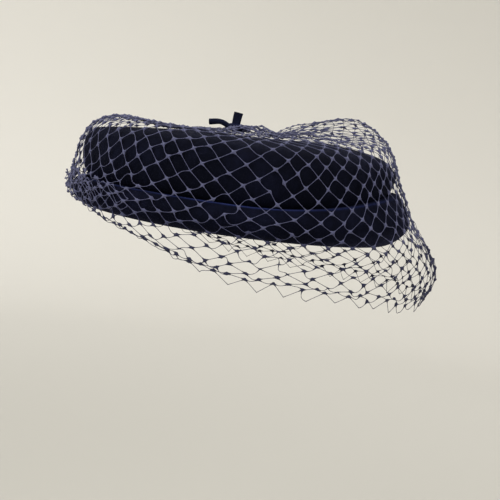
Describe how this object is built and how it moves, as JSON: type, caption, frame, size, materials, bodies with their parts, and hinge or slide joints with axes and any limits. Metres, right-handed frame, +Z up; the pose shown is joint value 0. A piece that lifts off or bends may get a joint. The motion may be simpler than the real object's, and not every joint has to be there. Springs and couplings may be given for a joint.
{
  "type": "pillbox hat with veil",
  "caption": "Velvet pillbox hat with a domed crown over a rolled cuff, under a diamond net veil that hangs below the rim, tied off with a small velvet knot.",
  "frame": {"origin": "the middle of the head opening, in the plane of the rim", "axes": "+X towards the front of the hat, +Y towards the wearer's left, +Z up out of the crown"},
  "size_m": [0.2507, 0.206, 0.1166],
  "materials": {
    "velvet": "navy velvet, matt with a pale sheen at grazing angles",
    "velvet_cuff": "navy velvet rolled round a band, its pile catching light along the top of the roll",
    "velvet_knot": "navy velvet, folded and cut",
    "net": "navy thread netting with knots where the threads cross"
  },
  "bodies": {
    "root": {"crown": "velvet", "cuff": "velvet_cuff", "veil": "net", "veil_gather": "net", "veil_bunch": "net", "knot": "velvet_knot", "knot_end_upright": "velvet_knot", "knot_end_lying": "velvet_knot"}
  },
  "joints": []
}
